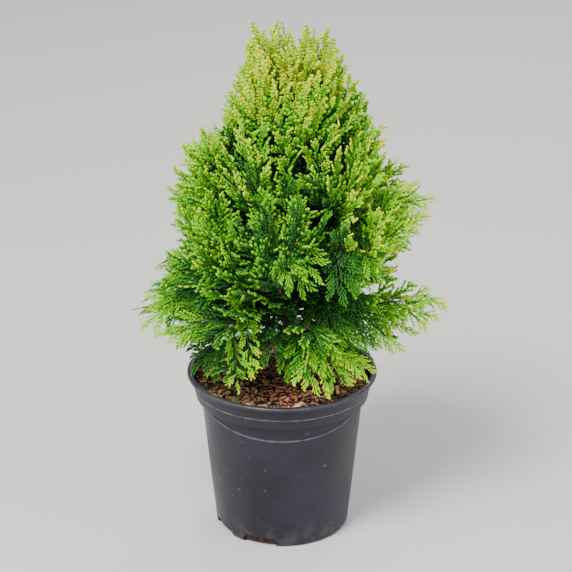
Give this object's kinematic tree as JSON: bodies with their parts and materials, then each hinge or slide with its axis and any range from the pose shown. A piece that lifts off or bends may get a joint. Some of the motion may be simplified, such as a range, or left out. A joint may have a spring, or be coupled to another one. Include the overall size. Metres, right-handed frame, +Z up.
{
  "type": "potted thuja",
  "caption": "Young conical evergreen conifer with golden-tipped flat sprays of scale leaves, standing in a round black plastic nursery pot of bark compost.",
  "frame": {"origin": "centre of the pot's flat underside", "axes": "+Z up along the plant, -Y towards the plant's front as pictured, +X to its right as seen from the front"},
  "size_m": [0.3034, 0.2272, 0.5242],
  "materials": {
    "pot": "satin black, dusty and lightly scratched",
    "compost": "coarse moist bark fibre and chips",
    "bark": "thin reddish brown fibrous bark",
    "foliage": "satin scale leaves, dark green inside and yellow-green to gold at the tips"
  },
  "bodies": {
    "root": {"pot": "pot", "soil": "compost", "trunk": "bark", "bough_skirt_1": "bark", "bough_skirt_2": "bark", "bough_skirt_3": "bark", "bough_skirt_4": "bark", "bough_skirt_5": "bark", "bough_lower_1": "bark", "bough_lower_2": "bark", "bough_lower_3": "bark", "bough_lower_4": "bark", "bough_lower_5": "bark", "bough_lower_6": "bark", "bough_middle_1": "bark", "bough_middle_2": "bark", "bough_middle_3": "bark", "bough_middle_4": "bark", "bough_middle_5": "bark", "bough_middle_6": "bark", "bough_shoulder_1": "bark", "bough_shoulder_2": "bark", "bough_shoulder_3": "bark", "bough_shoulder_4": "bark", "bough_shoulder_5": "bark", "bough_upper_1": "bark", "bough_upper_2": "bark", "bough_upper_3": "bark", "bough_upper_4": "bark", "foliage_skirt_1": "foliage", "foliage_skirt_2": "foliage", "foliage_skirt_3": "foliage", "foliage_skirt_4": "foliage", "foliage_skirt_5": "foliage", "foliage_lower_1": "foliage", "foliage_lower_2": "foliage", "foliage_lower_3": "foliage", "foliage_lower_4": "foliage", "foliage_lower_5": "foliage", "foliage_lower_6": "foliage", "foliage_middle_1": "foliage", "foliage_middle_2": "foliage", "foliage_middle_3": "foliage", "foliage_middle_4": "foliage", "foliage_middle_5": "foliage", "foliage_middle_6": "foliage", "foliage_shoulder_1": "foliage", "foliage_shoulder_2": "foliage", "foliage_shoulder_3": "foliage", "foliage_shoulder_4": "foliage", "foliage_shoulder_5": "foliage", "foliage_upper_1": "foliage", "foliage_upper_2": "foliage", "foliage_upper_3": "foliage", "foliage_upper_4": "foliage", "foliage_leader_1": "foliage", "foliage_leader_2": "foliage", "foliage_leader_3": "foliage", "foliage_leader_4": "foliage"}
  },
  "joints": []
}
